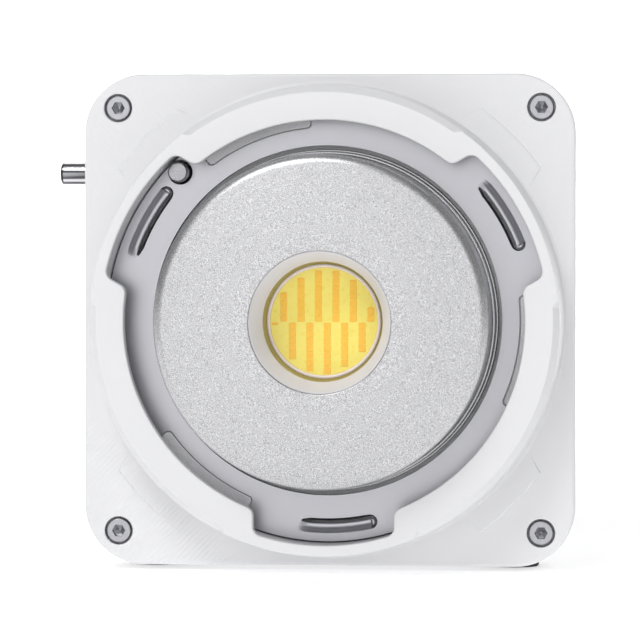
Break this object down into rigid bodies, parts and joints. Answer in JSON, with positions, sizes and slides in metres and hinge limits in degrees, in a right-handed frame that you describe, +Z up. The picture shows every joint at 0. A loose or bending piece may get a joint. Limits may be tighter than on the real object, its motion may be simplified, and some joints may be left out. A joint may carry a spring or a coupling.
{
  "type": "spotlight head",
  "caption": "Open-face COB LED spotlight head: square white body, round bayonet mouth, sprung lock pin with side release rod, domed LED cover, fan and rear controls.",
  "frame": {"origin": "middle of the base plate's underside, on the surface that the head stands on", "axes": "+Z up; -Y along the optical axis, towards the subject; +X to the right as seen by someone in front of the head"},
  "size_m": [0.1326, 0.1605, 0.1249],
  "materials": {
    "white_paint": "matt white powder coat",
    "satin_steel": "satin",
    "cast_metal": "rough cast",
    "blasted_aluminium": "bead blasted, fine sparkle",
    "aluminium": "milled",
    "polished_steel": "polished",
    "copper": "bare copper",
    "phosphor": "silicone gel over chips",
    "pale_silicone": "soft satin",
    "chip_board": "olive solder mask",
    "cream_plastic": "white moulded",
    "dark_plastic": "fine moulded texture",
    "circuit_board": "green solder mask",
    "display_glass": "dark glossy window",
    "rubber": "matt"
  },
  "bodies": {
    "light_head": {"front_bezel": "white_paint", "body_shell": "white_paint", "rear_cover": "white_paint", "mount_spring_plate": "satin_steel", "lock_pin_spring": "satin_steel", "intensity_encoder": "satin_steel", "colour_temperature_encoder": "satin_steel", "power_inlet_shell": "satin_steel", "data_port": "satin_steel", "front_screw_top_left": "satin_steel", "front_screw_top_right": "satin_steel", "front_screw_bottom_left": "satin_steel", "front_screw_bottom_right": "satin_steel", "rear_screw_top_left": "satin_steel", "rear_screw_top_right": "satin_steel", "rear_screw_bottom_left": "satin_steel", "rear_screw_bottom_right": "satin_steel", "mount_backing_ring": "cast_metal", "lock_pin_housing": "cast_metal", "dome_cover": "blasted_aluminium", "heat_column": "aluminium", "heatsink": "aluminium", "base_plate": "aluminium", "heat_pipe_right": "copper", "heat_pipe_top": "copper", "heat_pipe_left": "copper", "heat_pipe_bottom": "copper", "led_phosphor_disc": "phosphor", "led_dam_ring": "pale_silicone", "led_chip_board": "chip_board", "reflector_cone": "cream_plastic", "led_holder": "cream_plastic", "fan_frame": "dark_plastic", "display_module": "dark_plastic", "rocker_housing": "dark_plastic", "power_inlet_insert": "dark_plastic", "driver_board": "circuit_board", "control_board": "circuit_board", "display_window": "display_glass", "rubber_foot_front_left": "rubber", "rubber_foot_front_right": "rubber", "rubber_foot_back_left": "rubber", "rubber_foot_back_right": "rubber"},
    "lock_pin": {"lock_pin": "satin_steel", "release_rod": "polished_steel"},
    "fan_rotor": {"fan_rotor": "dark_plastic"},
    "intensity_encoder_rotor": {"intensity_encoder_rotor": "dark_plastic"},
    "intensity_knob": {"intensity_knob": "dark_plastic"},
    "colour_temperature_encoder_rotor": {"colour_temperature_encoder_rotor": "dark_plastic"},
    "colour_temperature_knob": {"colour_temperature_knob": "dark_plastic"},
    "mode_button": {"mode_button": "dark_plastic"},
    "channel_button": {"channel_button": "dark_plastic"},
    "effects_button": {"effects_button": "dark_plastic"},
    "power_rocker": {"power_rocker": "dark_plastic"}
  },
  "joints": [
    {"name": "lock_pin_slide", "type": "slide", "parent": "light_head", "child": "lock_pin", "axis": [0, 1, 0], "range_m": [0, 0.006], "stiffness_N_per_m": 500, "springref_m": -0.006, "deforming": ["lock_pin_spring"]},
    {"name": "fan_spin", "type": "hinge", "parent": "light_head", "child": "fan_rotor", "pos_m": [0, 0.0181, 0.0632], "axis": [0, 1, 0], "continuous": true},
    {"name": "intensity_turn", "type": "hinge", "parent": "light_head", "child": "intensity_encoder_rotor", "pos_m": [-0.034, 0.054, 0.0532], "axis": [0, 1, 0], "continuous": true},
    {"name": "intensity_press", "type": "slide", "parent": "intensity_encoder_rotor", "child": "intensity_knob", "axis": [0, -1, 0], "range_m": [0, 0.0006], "stiffness_N_per_m": 1500, "springref_m": -0.0005},
    {"name": "colour_temperature_turn", "type": "hinge", "parent": "light_head", "child": "colour_temperature_encoder_rotor", "pos_m": [0.034, 0.054, 0.0532], "axis": [0, 1, 0], "continuous": true},
    {"name": "colour_temperature_press", "type": "slide", "parent": "colour_temperature_encoder_rotor", "child": "colour_temperature_knob", "axis": [0, -1, 0], "range_m": [0, 0.0006], "stiffness_N_per_m": 1500, "springref_m": -0.0005},
    {"name": "mode_press", "type": "slide", "parent": "light_head", "child": "mode_button", "axis": [0, -1, 0], "range_m": [0, 0.0008], "stiffness_N_per_m": 1500, "springref_m": -0.0005},
    {"name": "channel_press", "type": "slide", "parent": "light_head", "child": "channel_button", "axis": [0, -1, 0], "range_m": [0, 0.0008], "stiffness_N_per_m": 1500, "springref_m": -0.0005},
    {"name": "effects_press", "type": "slide", "parent": "light_head", "child": "effects_button", "axis": [0, -1, 0], "range_m": [0, 0.0008], "stiffness_N_per_m": 1500, "springref_m": -0.0005},
    {"name": "power_rocker_tilt", "type": "hinge", "parent": "light_head", "child": "power_rocker", "pos_m": [0.034, 0.058, 0.0252], "axis": [-1, 0, 0], "range_deg": [0, 20]}
  ]
}
